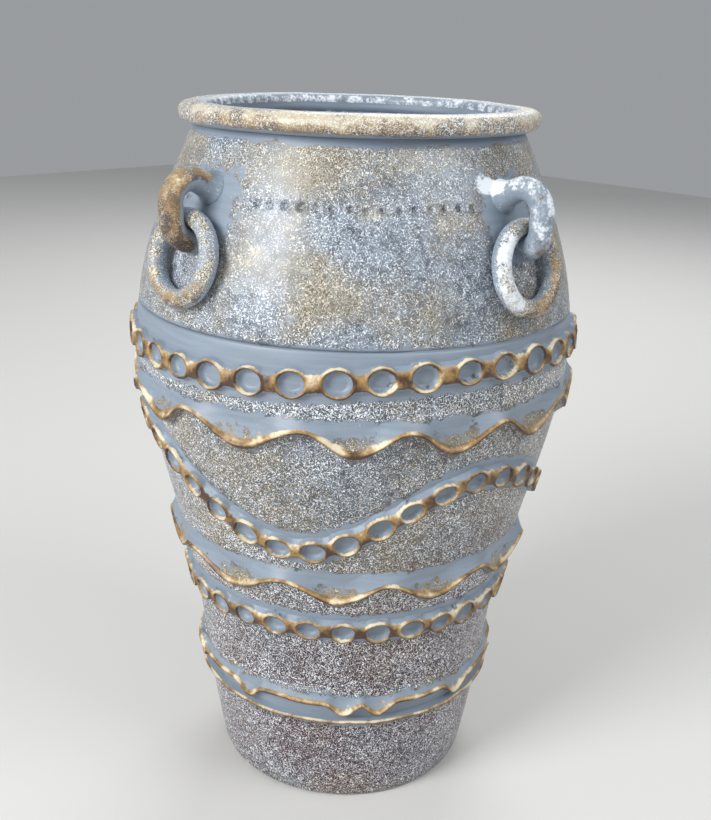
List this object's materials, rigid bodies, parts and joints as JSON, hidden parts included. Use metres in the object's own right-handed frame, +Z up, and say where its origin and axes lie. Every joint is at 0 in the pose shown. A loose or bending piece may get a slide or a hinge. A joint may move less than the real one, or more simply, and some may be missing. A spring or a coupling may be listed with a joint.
{
  "type": "jar",
  "caption": "Tall wide-mouthed clay floor jar with thumbed and wavy applied bands, a rolled rim and loose rings hanging in shoulder lugs.",
  "frame": {"origin": "middle of the foot, on the face that stands on the floor", "axes": "+Z up along the jar's axis, lugs on +X, +Y, -X and -Y; the pictured side faces between -Y and +X"},
  "size_m": [0.3992, 0.3992, 0.6],
  "materials": {
    "painted_wall": "fired clay, satin grey-blue paint with fine white and bronze speckle",
    "gilded_rim": "fired clay, grey-blue paint dry-brushed with cream and tan gold",
    "gilded_band": "fired clay, grey-blue paint with the raised edges dry-brushed gold",
    "painted_lug": "fired clay, grey-blue paint dry-brushed with bronze gold and cream",
    "painted_ring": "fired clay, grey-blue paint dry-brushed with cream and tan"
  },
  "bodies": {
    "jar": {"foot_slab": "painted_wall", "lower_wall": "painted_wall", "upper_wall": "painted_wall", "rim_roll": "gilded_rim", "upper_thumbed_band": "gilded_band", "upper_wavy_frill": "gilded_band", "thumbed_garland": "gilded_band", "lower_wavy_frill": "gilded_band", "lower_thumbed_band": "gilded_band", "pinched_strip": "gilded_band", "ledge_strip": "gilded_band", "lug_right": "painted_lug", "lug_back": "painted_lug", "lug_left": "painted_lug", "lug_front": "painted_lug"},
    "ring_right": {"ring_right": "painted_ring"},
    "ring_back": {"ring_back": "painted_ring"},
    "ring_left": {"ring_left": "painted_ring"},
    "ring_front": {"ring_front": "painted_ring"}
  },
  "joints": [
    {"name": "ring_right_swing", "type": "hinge", "parent": "jar", "child": "ring_right", "pos_m": [0.17379, 0, 0.521], "axis": [0, -1, 0], "range_deg": [0, 188]},
    {"name": "ring_back_swing", "type": "hinge", "parent": "jar", "child": "ring_back", "pos_m": [0, 0.17379, 0.521], "axis": [1, 0, 0], "range_deg": [0, 188]},
    {"name": "ring_left_swing", "type": "hinge", "parent": "jar", "child": "ring_left", "pos_m": [-0.17379, 0, 0.521], "axis": [0, 1, 0], "range_deg": [0, 188]},
    {"name": "ring_front_swing", "type": "hinge", "parent": "jar", "child": "ring_front", "pos_m": [0, -0.17379, 0.521], "axis": [-1, 0, 0], "range_deg": [0, 188]}
  ]
}
